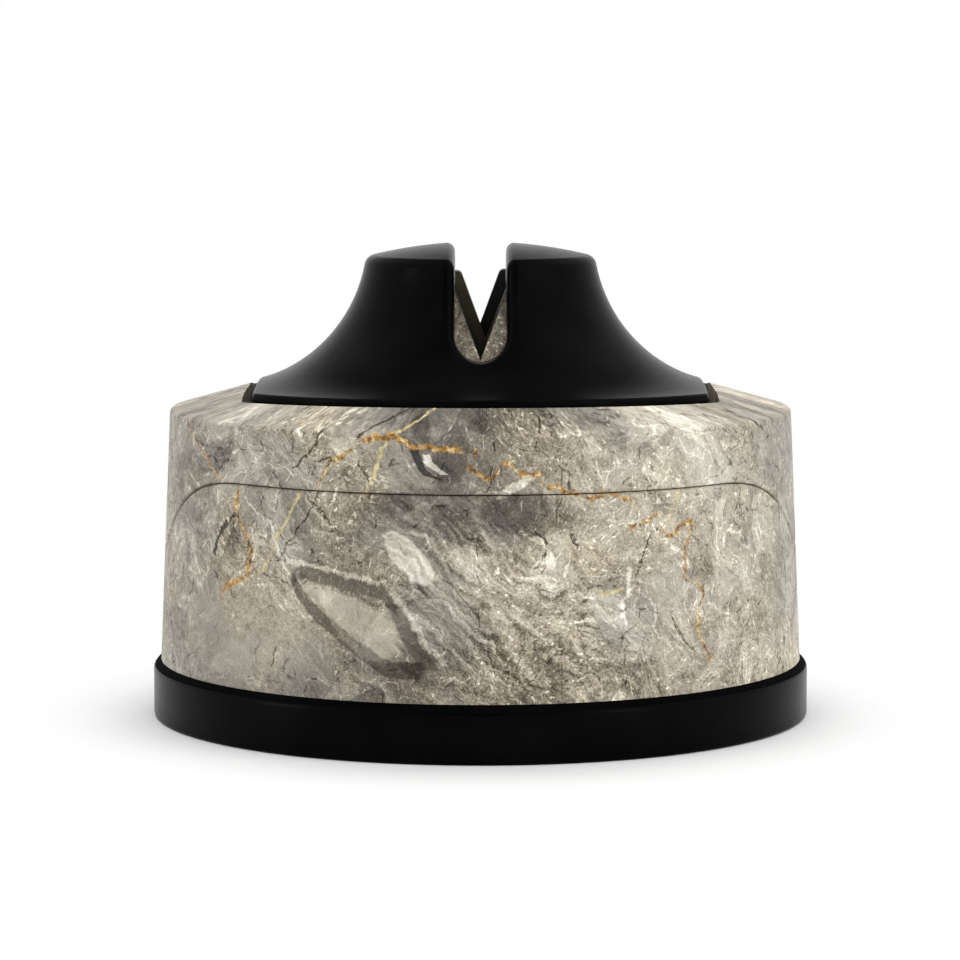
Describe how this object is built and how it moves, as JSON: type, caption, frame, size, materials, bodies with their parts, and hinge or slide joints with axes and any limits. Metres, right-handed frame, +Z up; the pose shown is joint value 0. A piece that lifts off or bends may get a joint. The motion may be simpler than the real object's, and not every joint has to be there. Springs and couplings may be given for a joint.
{
  "type": "manual knife sharpener",
  "caption": "Round manual knife sharpener with crossed carbide cutters in a slotted black housing, a marble-look lever collar and body, and a suction cup base.",
  "frame": {"origin": "middle of the footprint, on the surface that the suction cup rests on", "axes": "+Z up, -Y towards the front where the lever collar lifts, the knife slot runs along Y"},
  "size_m": [0.066, 0.066, 0.0473],
  "materials": {
    "marble_plastic": "satin, veined",
    "black_plastic": "satin",
    "rubber": "smooth",
    "carbide": "ground",
    "nylon": "moulded",
    "zinc": "die cast",
    "steel": "zinc plated"
  },
  "bodies": {
    "base": {"suction_cup": "rubber", "base_plate": "black_plastic", "base_screws": "steel", "body_shell": "marble_plastic", "left_bush": "nylon", "right_bush": "nylon", "top_housing": "black_plastic", "housing_screws": "steel", "front_guide": "marble_plastic", "rear_guide": "marble_plastic", "left_cutter": "carbide", "right_cutter": "carbide", "guide_rivet": "steel", "retainer_plate": "black_plastic", "retainer_screws": "steel"},
    "lever_assembly": {"lever": "marble_plastic", "pivot_shaft": "steel", "crank_arm": "zinc", "roll_pin": "steel", "crank_pin": "steel"},
    "plunger": {"lift_yoke": "black_plastic", "suction_stem": "steel", "stem_washer": "steel", "stem_nut": "steel"}
  },
  "joints": [
    {"name": "lever_tilt", "type": "hinge", "parent": "base", "child": "lever_assembly", "pos_m": [0, 0, 0.0253], "axis": [-1, 0, 0], "range_deg": [0, 35]},
    {"name": "cup_lift", "type": "slide", "parent": "base", "child": "plunger", "axis": [0, 0, 1], "range_m": [-0.00331, 0], "deforming": ["suction_cup"]}
  ],
  "couplings": [
    {"joint": "cup_lift", "follows": "lever_tilt", "m_per_rad": -0.0054149}
  ]
}
